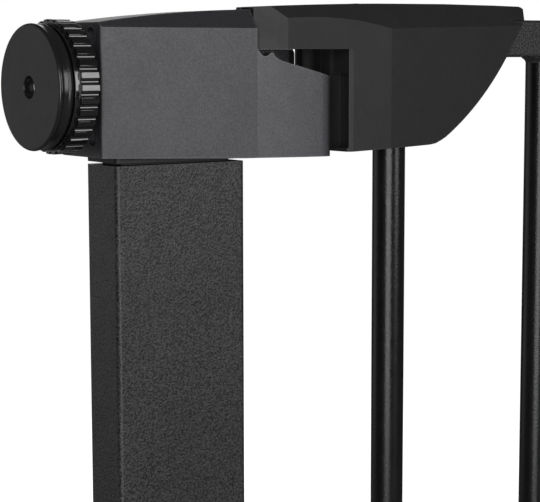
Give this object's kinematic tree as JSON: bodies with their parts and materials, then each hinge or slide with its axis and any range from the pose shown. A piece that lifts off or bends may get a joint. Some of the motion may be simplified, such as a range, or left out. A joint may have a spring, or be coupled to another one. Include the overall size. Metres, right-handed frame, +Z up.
{
  "type": "pressure fit safety gate",
  "caption": "Barred child safety gate with a U-shaped steel frame, a door that swings both ways, a handle with a sliding bolt, and screw spindles with wall pads.",
  "frame": {"origin": "on the floor, midway between the two posts and on the middle plane of the frame", "axes": "+X across the opening from the lock post to the hinge post, +Y through the opening away from the face with the closer view, +Z up"},
  "size_m": [0.755, 0.0426, 0.75],
  "materials": {
    "coat": "satin powder coat",
    "bar_coat": "semi-gloss powder coat",
    "housing": "fine matt grain",
    "handle": "fine matt grain",
    "inner_plastic": "matt",
    "wheel": "gloss",
    "pad": "smooth satin",
    "rubber": "matt",
    "steel": "zinc plated",
    "nylon": "smooth"
  },
  "bodies": {
    "frame": {"left_post": "coat", "right_post": "coat", "sill": "coat", "sill_strip": "rubber", "left_shoe": "housing", "right_shoe": "housing", "left_post_plug": "inner_plastic", "right_post_plug": "inner_plastic", "lock_housing": "housing", "hinge_housing": "housing", "keeper": "steel", "hinge_bush": "nylon", "lower_hinge": "steel", "thrust_washer": "nylon", "sill_guide": "inner_plastic", "frame_screws": "steel", "guide_upper_left": "inner_plastic", "guide_upper_right": "inner_plastic", "guide_lower_left": "inner_plastic", "guide_lower_right": "inner_plastic"},
    "door": {"top_rail": "coat", "bottom_rail": "coat", "rail_caps": "inner_plastic", "lock_stile": "bar_coat", "bar_2": "bar_coat", "bar_3": "bar_coat", "bar_4": "bar_coat", "bar_5": "bar_coat", "bar_6": "bar_coat", "hinge_stile": "bar_coat", "stile_collar": "inner_plastic", "stile_bush": "nylon", "guide_stud": "steel", "handle_front": "handle", "handle_back": "handle", "handle_screws": "steel", "bolt_guide": "inner_plastic", "stop_clip": "steel"},
    "latch": {"latch_bolt": "steel", "thumb_slider": "handle"},
    "wheel_upper_left": {"wheel_upper_left": "wheel"},
    "spindle_upper_left": {"rod_upper_left": "steel", "pad_upper_left": "pad"},
    "wheel_upper_right": {"wheel_upper_right": "wheel"},
    "spindle_upper_right": {"rod_upper_right": "steel", "pad_upper_right": "pad"},
    "wheel_lower_left": {"wheel_lower_left": "wheel"},
    "spindle_lower_left": {"rod_lower_left": "steel", "pad_lower_left": "pad"},
    "wheel_lower_right": {"wheel_lower_right": "wheel"},
    "spindle_lower_right": {"rod_lower_right": "steel", "pad_lower_right": "pad"}
  },
  "joints": [
    {"name": "door_swing", "type": "hinge", "parent": "frame", "child": "door", "pos_m": [0.231, 0, 0], "axis": [0, 0, 1], "range_deg": [-90, 90]},
    {"name": "latch_slide", "type": "slide", "parent": "door", "child": "latch", "axis": [-1, 0, 0], "range_m": [0, 0.012]},
    {"name": "turn_upper_left", "type": "hinge", "parent": "frame", "child": "wheel_upper_left", "pos_m": [-0.369, 0, 0.7218], "axis": [-1, 0, 0], "range_deg": [0, 3600]},
    {"name": "reach_upper_left", "type": "slide", "parent": "frame", "child": "spindle_upper_left", "axis": [-1, 0, 0], "range_m": [0, 0.03]},
    {"name": "turn_upper_right", "type": "hinge", "parent": "frame", "child": "wheel_upper_right", "pos_m": [0.369, 0, 0.7218], "axis": [1, 0, 0], "range_deg": [0, 3600]},
    {"name": "reach_upper_right", "type": "slide", "parent": "frame", "child": "spindle_upper_right", "axis": [1, 0, 0], "range_m": [0, 0.03]},
    {"name": "turn_lower_left", "type": "hinge", "parent": "frame", "child": "wheel_lower_left", "pos_m": [-0.369, 0, 0.045], "axis": [-1, 0, 0], "range_deg": [0, 3600]},
    {"name": "reach_lower_left", "type": "slide", "parent": "frame", "child": "spindle_lower_left", "axis": [-1, 0, 0], "range_m": [0, 0.03]},
    {"name": "turn_lower_right", "type": "hinge", "parent": "frame", "child": "wheel_lower_right", "pos_m": [0.369, 0, 0.045], "axis": [1, 0, 0], "range_deg": [0, 3600]},
    {"name": "reach_lower_right", "type": "slide", "parent": "frame", "child": "spindle_lower_right", "axis": [1, 0, 0], "range_m": [0, 0.03]}
  ],
  "couplings": [
    {"joint": "turn_upper_left", "follows": "reach_upper_left", "rad_per_m": 2094},
    {"joint": "turn_upper_right", "follows": "reach_upper_right", "rad_per_m": 2094},
    {"joint": "turn_lower_left", "follows": "reach_lower_left", "rad_per_m": 2094},
    {"joint": "turn_lower_right", "follows": "reach_lower_right", "rad_per_m": 2094}
  ]
}
